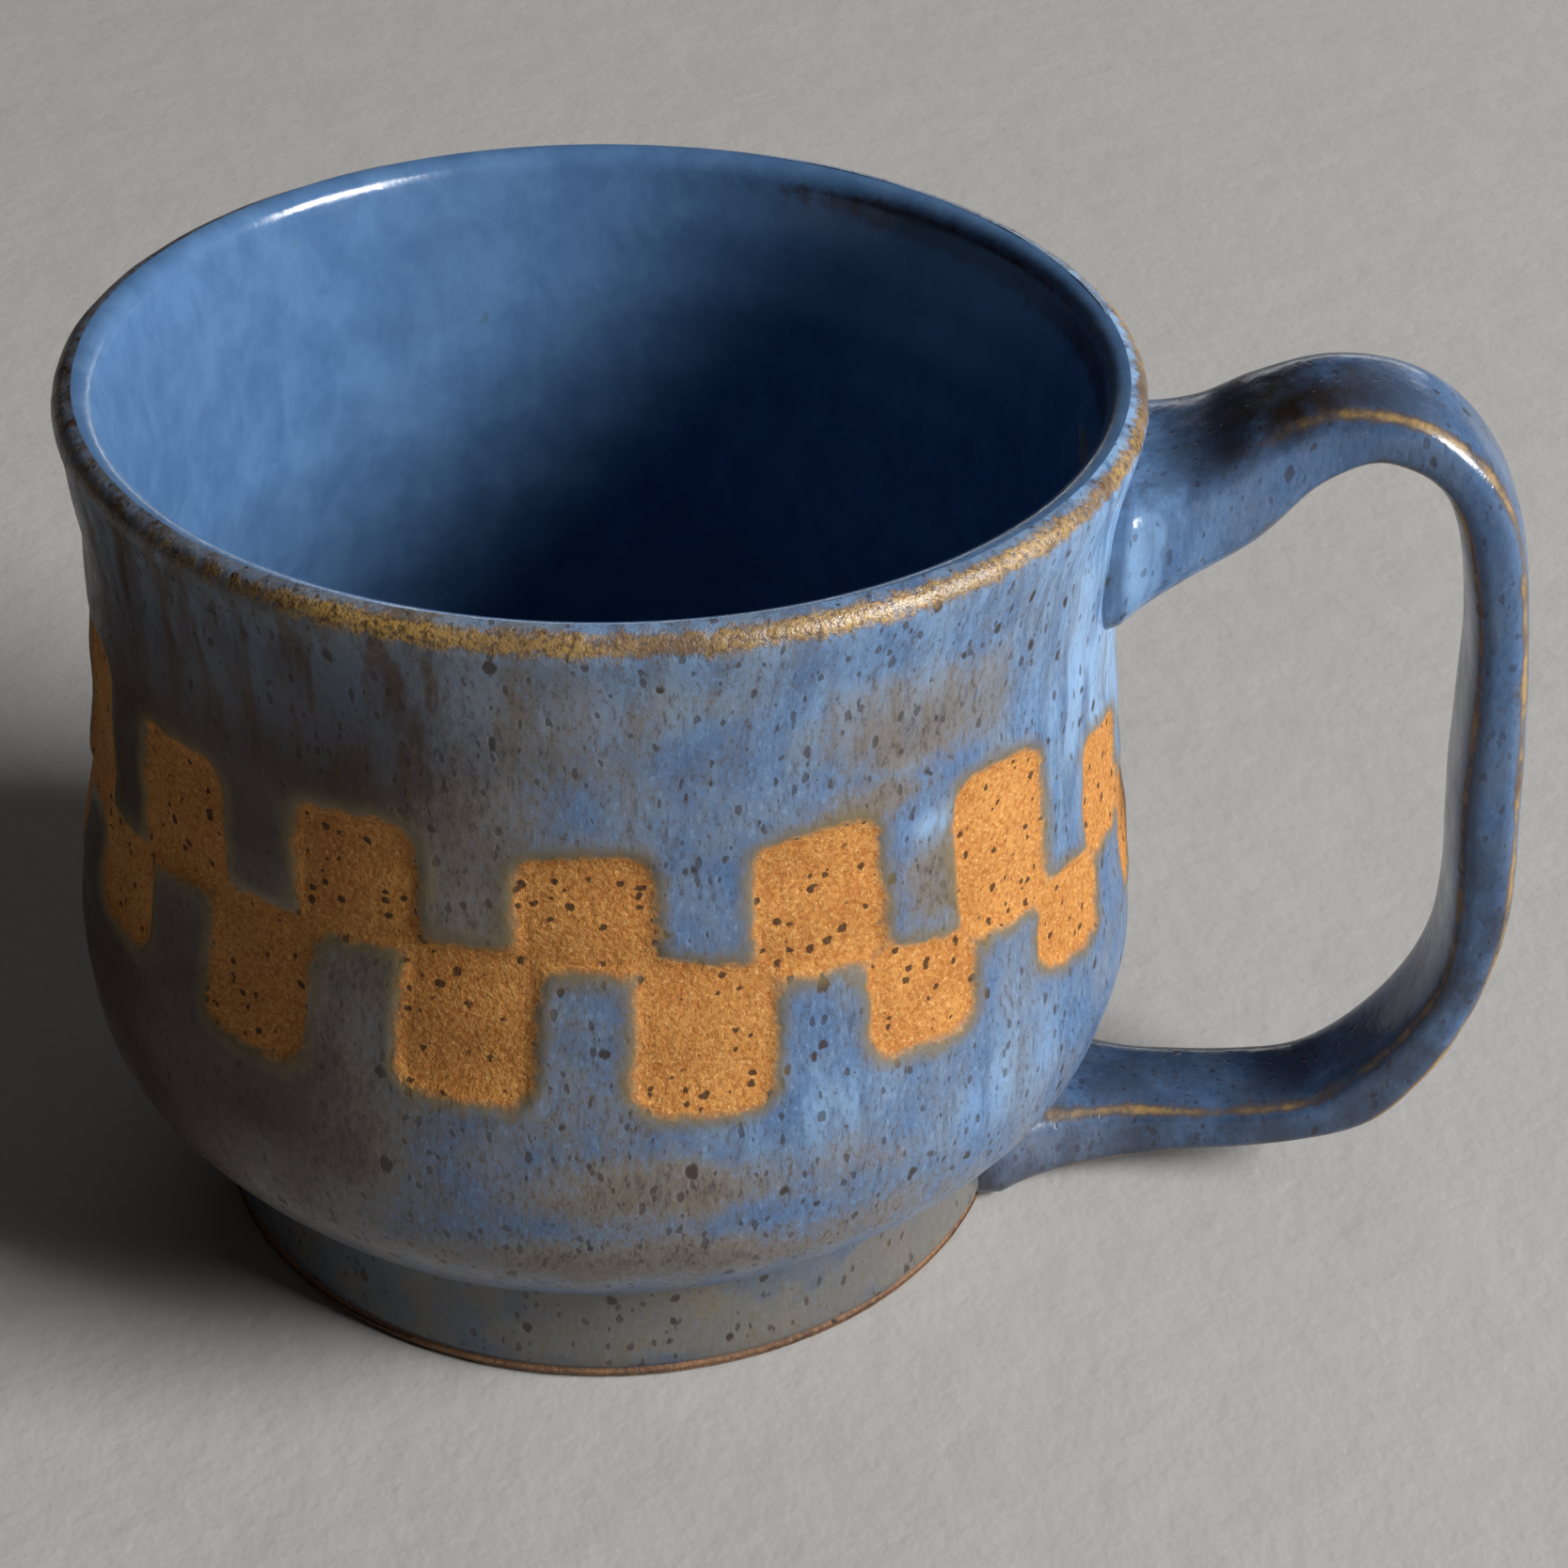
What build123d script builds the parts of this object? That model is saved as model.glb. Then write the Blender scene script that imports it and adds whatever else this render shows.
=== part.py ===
from build123d import *

import os
from math import acos, cos, degrees, exp, radians, sin

# A wheel-thrown stoneware mug with a pulled strap handle and a blue glaze.
#
# All lengths are millimetres and all angles degrees.  The origin is the centre of the foot on
# the table, +Z is up the axis of the mug and the handle points along +X.

# Outside of the clay cup, turned as four arcs that run into each other
BELLY_RADIUS = 47.0
BELLY_HEIGHT = 27.5
BELLY_CURVE = 75.0
SHOULDER_LEAN = 10.0
NECK_HEIGHT = 66.5
LIP_HEIGHT = 79.1
LIP_LEAN = 13.0
UNDER_CURVE = 16.8
NECK_CURVE = (NECK_HEIGHT - BELLY_HEIGHT) / sin(radians(SHOULDER_LEAN)) - BELLY_CURVE
LIP_CURVE = (LIP_HEIGHT - NECK_HEIGHT) / sin(radians(LIP_LEAN))

# Wall, floor and the foot with its trimmed recess
WALL = 3.0
FLOOR_TOP = 12.0
FOOT_RADIUS = 36.7
FOOT_WAIST = 0.5
FOOT_CHAMFER = 0.8
FOOT_RING_WIDTH = 5.0
RECESS_DEPTH = 6.0
RECESS_CORNER = 1.5
ABOVE_CUP = 90.0

# Coats: the dipped glaze and the ochre slip brushed on underneath it
GLAZE = 0.4
GLAZE_LINE = 1.0
SLIP = 0.15
SLIP_BAND_BOTTOM = 33.0
SLIP_BAND_TOP = 65.0

# Chequered band: two rows of bare squares that meet along a wavy line and dip under the handle
SQUARES_AROUND = 30
FIRST_SQUARE = -110.0
SQUARE_WIDTH = 11.0
SQUARE_CORNER = 2.2
SQUARES_BOTTOM = 38.4
SQUARES_TOP = 61.6
BOTTOM_DIP = 3.5
TOP_DIP = 9.0
DIP_REACH = 29.0
MEETING_HEIGHT = 48.0
MEETING_WAVE = 3.6
MEETING_CREST = -100.0
ROW_OVERLAP = 0.2

# Strap handle: the outer and inner line of its side outline, as (radius, height) points
STRAP_OUTSIDE = [
    (40, 72), (49.5, 76.4), (54, 80.2), (61, 82.2), (69, 80.8), (75, 75),
    (78, 66), (80.2, 46), (80.6, 28), (75, 12.4), (65, 5.4), (34, 1.2),
]
STRAP_INSIDE = [
    (40, 61.4), (49.5, 66.3), (55, 69.6), (60, 75), (65, 77.2), (70.9, 73.4),
    (74.3, 61), (75.2, 45), (75.9, 25), (69, 12.6), (59, 8.3), (34, 7.8),
]
STRAP_WIDTH = 12.0
STRAP_EDGE_RADIUS = 1.6
ROOT_WIDTH = 17.0
FLARE_START = 46.0
FLARE_END = 62.0
BEYOND_STRAP = 90.0

# Clay worked round the two roots of the strap, tapering away from the wall
UPPER_ROOT = (50.0, 71.8)
UPPER_ROOT_ANGLE = 34.0
UPPER_JOIN_SIZE = (12.4, 20.8)
LOWER_ROOT = (50.0, 6.0)
LOWER_ROOT_ANGLE = -4.0
LOWER_JOIN_SIZE = (9.6, 21.0)
JOIN_REACH = 5.0
JOIN_DEPTH = 16.0
JOIN_SHRINK = 5.0
JOIN_CORNER = 4.0
JOIN_OUTER_CORNER = 2.0

os.makedirs("parts", exist_ok=True)


def wall_line(grow):
    """Outline of the wall from the belly up to the lip, moved outwards by grow."""
    belly = JernArc((BELLY_RADIUS + grow, BELLY_HEIGHT), (0, 1), BELLY_CURVE + grow, SHOULDER_LEAN)
    neck = JernArc(belly @ 1, belly % 1, NECK_CURVE - grow, -SHOULDER_LEAN)
    flare = JernArc(neck @ 1, neck % 1, LIP_CURVE - grow, -LIP_LEAN)
    return flare @ 1


def under_line(grow):
    """Outline of the underside of the belly, from its widest point in to the foot."""
    centre = BELLY_RADIUS - UNDER_CURVE
    sweep = degrees(acos((FOOT_RADIUS + grow - centre) / (UNDER_CURVE + grow)))
    under = JernArc((BELLY_RADIUS + grow, BELLY_HEIGHT), (0, -1), UNDER_CURVE + grow, -sweep)
    return under @ 1


def bore_line(grow):
    """Outline of the inside of the wall, round the corner to the floor and in to the axis."""
    lip_inside = wall_line(-WALL - grow)
    corner = BELLY_HEIGHT - FLOOR_TOP - grow
    turn = JernArc((BELLY_RADIUS - WALL - grow, BELLY_HEIGHT), (0, -1), corner, -90)
    Line(turn @ 1, (0, FLOOR_TOP + grow))
    return lip_inside


def filled_section(coat):
    """Half section of the cup as if it were filled with clay."""
    with BuildSketch(Plane.XZ) as section:
        with BuildLine():
            lip = wall_line(coat)
            crease = under_line(coat)
            Polyline(lip, (lip.X, ABOVE_CUP), (0, ABOVE_CUP), (0, 0), (crease.X, 0), crease)
        make_face()
    return section


def cup_section(coat):
    """Half section of the cup: foot ring, floor, wall and rounded lip, thickened by the coat."""
    ring_inside = FOOT_RADIUS - FOOT_RING_WIDTH
    foot_side = FOOT_RADIUS + coat
    with BuildSketch(Plane.XZ) as section:
        with BuildLine():
            lip_outside = wall_line(coat)
            lip_inside = bore_line(coat)
            along_lip = Vector(sin(radians(LIP_LEAN)), cos(radians(LIP_LEAN)))
            crown = (lip_outside + lip_inside) / 2 + along_lip * (WALL / 2 + coat)
            ThreePointArc(lip_outside, crown, lip_inside)
            crease = under_line(coat)
            waist = (foot_side - FOOT_WAIST, crease.Y / 2)
            ThreePointArc(crease, waist, (foot_side, FOOT_CHAMFER))
            Polyline(
                (foot_side, FOOT_CHAMFER),
                (foot_side - FOOT_CHAMFER, 0),
                (ring_inside + FOOT_CHAMFER, 0),
                (ring_inside, RECESS_DEPTH - RECESS_CORNER),
                (ring_inside - RECESS_CORNER, RECESS_DEPTH),
                (0, RECESS_DEPTH),
                (0, FLOOR_TOP + coat),
            )
        make_face()
    return section


def drink_side_section():
    """Half section of everything on the drink side of the middle of the wall."""
    with BuildSketch(Plane.XZ) as section:
        with BuildLine():
            lip_middle = bore_line(-WALL / 2)
            along_lip = Vector(sin(radians(LIP_LEAN)), cos(radians(LIP_LEAN)))
            above = lip_middle + along_lip * WALL
            Polyline(lip_middle, above, (0, above.Y), (0, FLOOR_TOP - WALL / 2))
        make_face()
    return section


def slip_section():
    """Half section of the thin band of slip on the outside of the wall."""
    with BuildSketch(Plane.XZ) as section:
        add(filled_section(SLIP).sketch_local)
        with Locations((0, SLIP_BAND_BOTTOM)):
            Rectangle(
                2 * BELLY_RADIUS,
                SLIP_BAND_TOP - SLIP_BAND_BOTTOM,
                align=(Align.MIN, Align.MIN),
                mode=Mode.INTERSECT,
            )
        add(filled_section(0).sketch_local, mode=Mode.SUBTRACT)
    return section


def glaze_section():
    """Half section of the glaze skin over the clay and the slip, down to the glaze line."""
    with BuildSketch(Plane.XZ) as section:
        add(cup_section(GLAZE).sketch_local)
        add(cup_section(0).sketch_local, mode=Mode.SUBTRACT)
        add(slip_section().sketch_local, mode=Mode.SUBTRACT)
        with Locations((0, GLAZE_LINE)):
            Rectangle(2 * BELLY_RADIUS, ABOVE_CUP, align=(Align.MIN, Align.MIN), mode=Mode.INTERSECT)
    return section


def strap():
    """The pulled strap: its side outline, flared in plan towards the wall, edges rounded."""
    with BuildPart() as part:
        with BuildSketch(Plane.XZ):
            with BuildLine():
                outside = Spline(*STRAP_OUTSIDE)
                inside = Spline(*STRAP_INSIDE)
                Line(outside @ 0, inside @ 0)
                Line(outside @ 1, inside @ 1)
            make_face()
        extrude(amount=ROOT_WIDTH, both=True)
        with BuildSketch(Plane.XY):
            with BuildLine():
                near = Spline(
                    (0, ROOT_WIDTH / 2),
                    (FLARE_START, ROOT_WIDTH / 2),
                    (FLARE_END, STRAP_WIDTH / 2),
                    (BEYOND_STRAP, STRAP_WIDTH / 2),
                    tangents=((1, 0), (1, 0)),
                )
                far = mirror(near, about=Plane.XZ)
                Line(near @ 0, far @ 0)
                Line(near @ 1, far @ 1)
            make_face()
        extrude(amount=ABOVE_CUP, both=True, mode=Mode.INTERSECT)
        # Only the four edges that run the length of the strap are as long as this
        long_edges = part.edges().filter_by(lambda edge: edge.length > ABOVE_CUP)
        fillet(long_edges, STRAP_EDGE_RADIUS)
    return part.part


def join(root, angle, size, coat):
    """Clay worked around one root of the strap, tapering away from the wall."""
    along = Plane(
        origin=(root[0], 0, root[1]),
        x_dir=(-sin(radians(angle)), 0, cos(radians(angle))),
        z_dir=(cos(radians(angle)), 0, sin(radians(angle))),
    )
    with BuildPart() as part:
        for distance, shrink, corner in (
            (-JOIN_DEPTH, 0, JOIN_CORNER),
            (JOIN_REACH, JOIN_SHRINK, JOIN_OUTER_CORNER),
        ):
            with BuildSketch(along.offset(distance)):
                height = size[0] - shrink + 2 * coat
                width = size[1] - shrink + 2 * coat
                RectangleRounded(height, width, corner + coat)
        loft()
    return part.part


def square_windows():
    """The rounded squares left bare of glaze; even ones sit above the wavy line, odd ones below."""
    step = 360 / SQUARES_AROUND
    with BuildPart() as part:
        for number in range(SQUARES_AROUND):
            turn = FIRST_SQUARE + number * step
            meeting = MEETING_HEIGHT + MEETING_WAVE * cos(radians(2 * (turn - MEETING_CREST)))
            under_handle = exp(-((turn / DIP_REACH) ** 2))
            if number % 2 == 0:
                bottom, top = meeting - ROW_OVERLAP, SQUARES_TOP - TOP_DIP * under_handle
            else:
                bottom, top = SQUARES_BOTTOM - BOTTOM_DIP * under_handle, meeting + ROW_OVERLAP
            outward = Plane(
                origin=(0, 0, (bottom + top) / 2),
                x_dir=(-sin(radians(turn)), cos(radians(turn)), 0),
                z_dir=(cos(radians(turn)), sin(radians(turn)), 0),
            )
            with BuildSketch(outward.offset(BELLY_RADIUS - 2 * WALL)):
                RectangleRounded(SQUARE_WIDTH, top - bottom, SQUARE_CORNER)
            extrude(amount=3 * WALL)
    return part.part


# Forms that several pieces are trimmed against
filled_cup = revolve(filled_section(0).sketch, axis=Axis.Z)
filled_coated_cup = revolve(filled_section(GLAZE).sketch, axis=Axis.Z)
strap_form = strap()
upper_join_form = join(UPPER_ROOT, UPPER_ROOT_ANGLE, UPPER_JOIN_SIZE, 0)
lower_join_form = join(LOWER_ROOT, LOWER_ROOT_ANGLE, LOWER_JOIN_SIZE, 0)

# Thrown and trimmed stoneware cup
with BuildPart() as cup_body:
    add(cup_section(0).sketch)
    revolve(axis=Axis.Z)

# Pulled strap, cut to the curve of the wall
with BuildPart() as handle:
    add(strap_form)
    add(filled_cup, mode=Mode.SUBTRACT)

# Clay smoothed round the upper and the lower root of the strap
with BuildPart() as upper_join:
    add(upper_join_form)
    add([filled_cup, strap_form], mode=Mode.SUBTRACT)

with BuildPart() as lower_join:
    add(lower_join_form)
    add([filled_cup, strap_form], mode=Mode.SUBTRACT)

# Ochre slip brushed round the wall, seen through the squares
with BuildPart() as slip_band:
    add(slip_section().sketch)
    revolve(axis=Axis.Z)
    add([strap_form, upper_join_form], mode=Mode.SUBTRACT)

# Glaze over the outside, from the crown of the lip down to the foot
with BuildPart() as outer_glaze:
    with BuildSketch(Plane.XZ):
        add(glaze_section().sketch_local)
        add(drink_side_section().sketch_local, mode=Mode.SUBTRACT)
    revolve(axis=Axis.Z)
    add(square_windows(), mode=Mode.SUBTRACT)
    add([strap_form, upper_join_form, lower_join_form], mode=Mode.SUBTRACT)

# Glaze over the inside, from the crown of the lip down over the floor
with BuildPart() as inner_glaze:
    with BuildSketch(Plane.XZ):
        add(glaze_section().sketch_local)
        add(drink_side_section().sketch_local, mode=Mode.INTERSECT)
    revolve(axis=Axis.Z)

# Glaze on the strap and its joins
with BuildPart() as handle_glaze:
    add(strap_form)
    offset(amount=GLAZE)
    add(join(UPPER_ROOT, UPPER_ROOT_ANGLE, UPPER_JOIN_SIZE, GLAZE))
    add(join(LOWER_ROOT, LOWER_ROOT_ANGLE, LOWER_JOIN_SIZE, GLAZE))
    add([strap_form, upper_join_form, lower_join_form, filled_coated_cup], mode=Mode.SUBTRACT)

# Names and files
cup_body.part.label = "cup body"
export_step(cup_body.part, "parts/cup_body.step")

handle.part.label = "handle"
export_step(handle.part, "parts/handle.step")

upper_join.part.label = "upper join"
export_step(upper_join.part, "parts/upper_join.step")

lower_join.part.label = "lower join"
export_step(lower_join.part, "parts/lower_join.step")

slip_band.part.label = "slip band"
export_step(slip_band.part, "parts/slip_band.step")

outer_glaze.part.label = "outer glaze"
export_step(outer_glaze.part, "parts/outer_glaze.step")

inner_glaze.part.label = "inner glaze"
export_step(inner_glaze.part, "parts/inner_glaze.step")

handle_glaze.part.label = "handle glaze"
export_step(handle_glaze.part, "parts/handle_glaze.step")
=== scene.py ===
"""A hand-thrown stoneware mug: blue glaze, a chequered band of bare ochre squares, a strap handle.

The CAD frame gives the size and the place of everything. This script lays the visible skins over
it as dense meshes, gives them procedural materials, and sets the floor, the lights and the
camera. The shapes are worked out in millimetres, with the origin at the centre of the foot, +Z up
the axis and +X out through the handle, and are turned into metres when their mesh is made.
"""

from math import acos, cos, pi, radians, sin

import bpy
import numpy as np
from mathutils import Matrix, Vector, noise


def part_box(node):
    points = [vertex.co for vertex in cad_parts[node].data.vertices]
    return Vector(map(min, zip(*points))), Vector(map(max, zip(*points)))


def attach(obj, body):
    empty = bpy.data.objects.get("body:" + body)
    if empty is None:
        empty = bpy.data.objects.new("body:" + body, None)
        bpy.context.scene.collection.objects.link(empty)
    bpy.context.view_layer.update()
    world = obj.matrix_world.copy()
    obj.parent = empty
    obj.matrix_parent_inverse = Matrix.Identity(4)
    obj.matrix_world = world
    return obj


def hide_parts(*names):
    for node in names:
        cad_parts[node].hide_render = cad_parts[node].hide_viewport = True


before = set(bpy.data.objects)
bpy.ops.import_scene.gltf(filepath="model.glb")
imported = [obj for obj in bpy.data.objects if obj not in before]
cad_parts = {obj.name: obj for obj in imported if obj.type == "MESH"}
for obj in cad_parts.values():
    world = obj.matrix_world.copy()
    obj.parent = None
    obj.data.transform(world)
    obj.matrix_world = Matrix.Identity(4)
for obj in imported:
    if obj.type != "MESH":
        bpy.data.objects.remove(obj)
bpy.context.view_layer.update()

MM = 0.001

# The turned outline of the clay: the same arcs as the CAD source
BELLY_HEIGHT = 27.5
BELLY_CURVE = 75.0
SHOULDER_LEAN = radians(10.0)
NECK_HEIGHT = 66.5
LIP_HEIGHT = 79.1
LIP_LEAN = radians(13.0)
UNDER_CURVE = 16.8
WALL = 3.0
GLAZE = 0.4
FLOOR_TOP = 12.0
FOOT_RADIUS = 36.7
FOOT_WAIST = 0.5
FOOT_EDGE = 0.8
FOOT_RING_WIDTH = 5.0
RECESS_DEPTH = 6.0
RECESS_CORNER = 1.5
NECK_CURVE = (NECK_HEIGHT - BELLY_HEIGHT) / sin(SHOULDER_LEAN) - BELLY_CURVE
LIP_CURVE = (LIP_HEIGHT - NECK_HEIGHT) / sin(LIP_LEAN)
BELLY_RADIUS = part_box("outer_glaze")[1].x / MM - GLAZE
GLAZE_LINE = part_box("outer_glaze")[0].z / MM

# The lower edge of the glaze is rounded and rolls a little under itself
GLAZE_ROLL = 0.5
ROLL_UNDER = 0.6

# Under the glaze the clay mesh stays this far behind the true clay surface
CLAY_INSET = 0.25

# The chequered band: two rows that meet along a wavy line and dip under the handle
SQUARES_AROUND = 30
FIRST_SQUARE = radians(-110.0)
SQUARE_WIDTH = 11.0
SQUARE_CORNER = 2.4
SQUARES_BOTTOM = 38.4
SQUARES_TOP = 61.6
BOTTOM_DIP = 3.5
TOP_DIP = 9.0
DIP_REACH = radians(29.0)
MEETING_HEIGHT = 48.0
MEETING_WAVE = 3.6
MEETING_CREST = radians(-100.0)
ROW_OVERLAP = 0.7

# How unevenly the squares were painted, and how far their corners run together
WIDTH_SPREAD = 0.35
HEIGHT_SPREAD = 0.8
LEAN_SPREAD = 0.05
CORNER_MELT = 3.0

# The strap, outside and inside lines of its side outline as (radius, height) pairs
STRAP_OUTSIDE = [
    (40, 72.8), (49.5, 77.1), (54.5, 80.3), (61, 82.4), (69, 80.8), (75, 75),
    (78, 66), (80.2, 46), (80.6, 28), (75, 12.4), (65, 5.4), (34, 1.2),
]
STRAP_INSIDE = [
    (40, 61.4), (49.5, 66.3), (55, 69.6), (60, 75), (65, 77.2), (70.9, 73.4),
    (74.3, 61), (75.2, 45), (75.9, 25), (69, 12.6), (59, 8.3), (34, 7.8),
]
STRAP_WIDTH = 12.0
STRAP_LOWEST = 0.4
STRAP_SQUARENESS = 3.4
ROOT_WIDTH = 17.0
FLARE_REACH = 16.0

# At its roots the strap spreads into a web on the wall; its lower span is narrower and thicker
WEB_REACH = 3.2
WEB_WIDTH = 2.8
WEB_DEPTH = 1.0
LOWER_NARROWING = 0.9
LOWER_THICKENING = 0.7

# Where the edges of the strap lie round its section, as the sine of the angle
STRAP_EDGE = 0.62
STRAP_EDGE_REACH = 0.19

# The glaze breaks to ochre round the outer edge of the lip, at this angle round the lip
LIP_BREAK = radians(47)
LIP_BREAK_REACH = radians(31)

# Patches where the glaze pooled pale or went on thin, a few of them partly painted highlight or
# painted shade: angle, height, reach around and reach up in millimetres, strength
PALE_AND_HIGHLIGHT_PATCHES = [
    # Partly a pale drip and partly a painted highlight: light reflected off the wall between two
    # squares
    (-46, 58.6, 5, 1.6, 1.0),
    (-38, 31, 9, 5, 0.45),
    (-62, 36, 8, 4, 0.5),
    (95, 45, 8, 6, 0.6),
    (150, 44, 9, 5, 0.5),
]
THIN_GLAZE_AND_SHADE_PATCHES = [
    (-50, 69, 11, 5, 1.0),
    (-57, 62.5, 7, 2.5, 0.9),
    (-48, 54, 4, 5, 0.8),
    # These three on the left are partly thin brown glaze and partly painted shade on the side away
    # from the window
    (-150, 62, 42, 24, 2.0),
    (-140, 36, 30, 20, 2.0),
    (-120, 70, 26, 15, 1.9),
    (-103, 55, 7, 8, 0.6),
    (-112, 40, 10, 10, 0.8),
    (-80, 30, 22, 4, 0.7),
    (-85, 22, 40, 4, 0.8),
    (20, 58, 16, 9, 0.8),
    (75, 66, 24, 8, 0.9),
    (110, 30, 26, 8, 0.8),
    (170, 58, 18, 10, 0.9),
    (150, 24, 30, 5, 0.7),
]

# Relief modelled in the meshes: how deep each kind is, and how wide or how far apart
RING_DEPTH, RING_PITCH = 0.10, 8.5
INNER_RING_DEPTH, INNER_RING_PITCH = 0.05, 7.5
TRIMMING_DEPTH, TRIMMING_PITCH = 0.07, 2.2
WOBBLE_DEPTH, WOBBLE_SIZE = 0.25, 34
DIMPLE_DEPTH, DIMPLE_SIZE = 0.05, 7
DRIP_DEPTH, DRIP_SIZE = 0.16, 3.2
GRIT_DEPTH, GRIT_SIZE = 0.05, 0.9
CLAY_GRIT_DEPTH, CLAY_GRIT_SIZE = 0.05, 1.2
STRAP_WOBBLE_DEPTH, STRAP_WOBBLE_SIZE = 0.18, 18
STRAP_DIMPLE_DEPTH, STRAP_DIMPLE_SIZE = 0.08, 5
SQUARE_DEPTH = 0.30
GLAZE_BEAD = 0.07

# Relief drawn by the materials, in millimetres
GLAZE_RIPPLE = 0.07
SPECK_PIT = 0.04
BARE_GRAIN = 0.16
INNER_RIPPLE = 0.06
CLAY_GRAIN = 0.10
CLAY_LUMPS = 0.12
HANDLE_RIPPLE = 0.09
HANDLE_PIT = 0.02
FLOOR_LUMPS = 0.3
FLOOR_GRAIN = 0.05

# What turns the glaze from blue to taupe to brown, and how much each of them counts
THIN_SHARE = 0.42
CLOUD_SHARE = 0.65
BLOTCH_SHARE = 0.3
GRAIN_SHARE = 0.5

# How finely the skins are meshed, along their outline and around
COAT_ROWS = 150
OUTER_COLUMNS = 640
INNER_COLUMNS = 480
CLAY_COLUMNS = 256
STRAP_ROWS = 300
STRAP_COLUMNS = 96


def rgb(red, green, blue):
    """A colour given as 0-255 screen values, as the linear colour the nodes want."""
    screen = np.array([red, green, blue]) / 255
    linear = np.where(screen <= 0.04045, screen / 12.92, ((screen + 0.055) / 1.055) ** 2.4)
    return (*linear, 1.0)


# Glaze on the outside and on the strap
DENIM = rgb(74, 102, 140)
SLATE = rgb(94, 112, 136)
PALE_GRAIN = rgb(122, 142, 168)
# Pale blue of runs, also a painted highlight on the wall between two squares
PALE_RUN_AND_HIGHLIGHT = rgb(130, 166, 204)
TAUPE = rgb(110, 101, 89)
# Brown of thin glaze, also painted shade on the left side of the outside
THIN_BROWN_AND_SHADE = rgb(66, 49, 38)
SHADE = rgb(46, 48, 56)
IRON = rgb(44, 30, 22)
FOOT_GREY = rgb(70, 74, 76)
FOOT_OLIVE = rgb(100, 88, 58)
HANDLE_BLUE = rgb(66, 104, 150)
HANDLE_NAVY = rgb(50, 64, 90)
HANDLE_BROWN = rgb(44, 38, 35)
EDGE_BROWN = rgb(84, 72, 60)

# Bare slip in the squares, and the olive seam round them
OCHRE = rgb(188, 134, 72)
OCHRE_PALE = rgb(216, 174, 112)
OCHRE_DARK = rgb(146, 85, 35)
OLIVE = rgb(110, 94, 56)

# The lip, the inside and the bare clay
LIP_OCHRE = rgb(170, 136, 72)
LIP_BROWN = rgb(92, 70, 42)
# Dark brown under the crown inside, partly painted shade on the handle side
LIP_DARK_AND_SHADE = rgb(54, 46, 44)
INSIDE_BLUE = rgb(80, 114, 154)
INSIDE_DEEP = rgb(66, 98, 138)
INSIDE_SPECK = rgb(66, 88, 92)
CLAY = rgb(116, 84, 60)
CLAY_DARK = rgb(78, 56, 42)
CLAY_PALE = rgb(146, 112, 80)

# The room
FLOOR_GREY = rgb(168, 168, 167)
FLOOR_PALE = rgb(176, 175, 173)
BACKDROP_GREY = rgb(150, 150, 149)
ROOM_COLOUR = (1.0, 0.8, 0.64, 1.0)
ROOM_STRENGTH = 0.027
FLOOR_REACH_METRES = 1.6


# ---- Shapes -----------------------------------------------------------------------------------


def smoothstep(low, high, value):
    """0 below low, 1 above high, and a smooth ramp between them."""
    t = np.clip((value - low) / (high - low), 0, 1)
    return t * t * (3 - 2 * t)


def bell(value, middle, reach):
    """1 at the middle, falling smoothly away on both sides to about a third at reach."""
    return np.exp(-(((value - middle) / reach) ** 2))


def soft_noise(points, size, offset=0.0):
    """Smooth noise from -1 to 1 at each point, with features about size millimetres wide."""
    shift = Vector((offset, 2.7 * offset, -1.3 * offset))
    return np.array([noise.noise(Vector(p) / size + shift) for p in points])


def arc(centre, radius, start, end, steps=40):
    """Points of an arc in the (radius, height) plane, angles from straight outwards."""
    angles = np.linspace(start, end, steps)
    return np.stack([centre[0] + radius * np.cos(angles), centre[1] + radius * np.sin(angles)], 1)


def wall_line(grow):
    """The wall from the belly up to the lip, moved outwards by grow."""
    belly_centre = (BELLY_RADIUS - BELLY_CURVE, BELLY_HEIGHT)
    belly = arc(belly_centre, BELLY_CURVE + grow, 0, SHOULDER_LEAN)
    reach = BELLY_CURVE + NECK_CURVE
    neck_centre = (
        belly_centre[0] + reach * cos(SHOULDER_LEAN),
        belly_centre[1] + reach * sin(SHOULDER_LEAN),
    )
    neck = arc(neck_centre, NECK_CURVE - grow, pi + SHOULDER_LEAN, pi)
    shift = NECK_CURVE - LIP_CURVE
    flare = arc((neck_centre[0] - shift, neck_centre[1]), LIP_CURVE - grow, pi, pi - LIP_LEAN)
    return np.concatenate([belly, neck[1:], flare[1:]])


def under_line(grow):
    """The underside of the belly, from its widest point in to the crease above the foot."""
    centre = BELLY_RADIUS - UNDER_CURVE
    sweep = acos((FOOT_RADIUS + grow - centre) / (UNDER_CURVE + grow))
    return arc((centre, BELLY_HEIGHT), UNDER_CURVE + grow, 0, -sweep)


def foot_line(radius, crease_height, climb):
    """The slightly waisted side of the foot, at shares of the way from glaze line to crease."""
    height = GLAZE_LINE + climb * (crease_height - GLAZE_LINE)
    return np.stack([radius - FOOT_WAIST * np.sin(pi * climb), height], 1)


def lip_middle(grow):
    """The point that the lip is rounded about."""
    return (wall_line(grow)[-1] + wall_line(-WALL - grow)[-1]) / 2


def lip_arc(grow, start, end):
    """Round over the lip, angles from the outside of the wall (0) to its inside (pi)."""
    return arc(lip_middle(grow), WALL / 2 + grow, start - LIP_LEAN, end - LIP_LEAN, 24)


def inner_corner(inset, steps=40):
    """The rounded corner between the wall and the floor of the cup, inset into the cup."""
    radius = BELLY_HEIGHT - FLOOR_TOP - inset
    return arc((BELLY_RADIUS - WALL - inset - radius, BELLY_HEIGHT), radius, 0, -pi / 2, steps)


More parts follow.
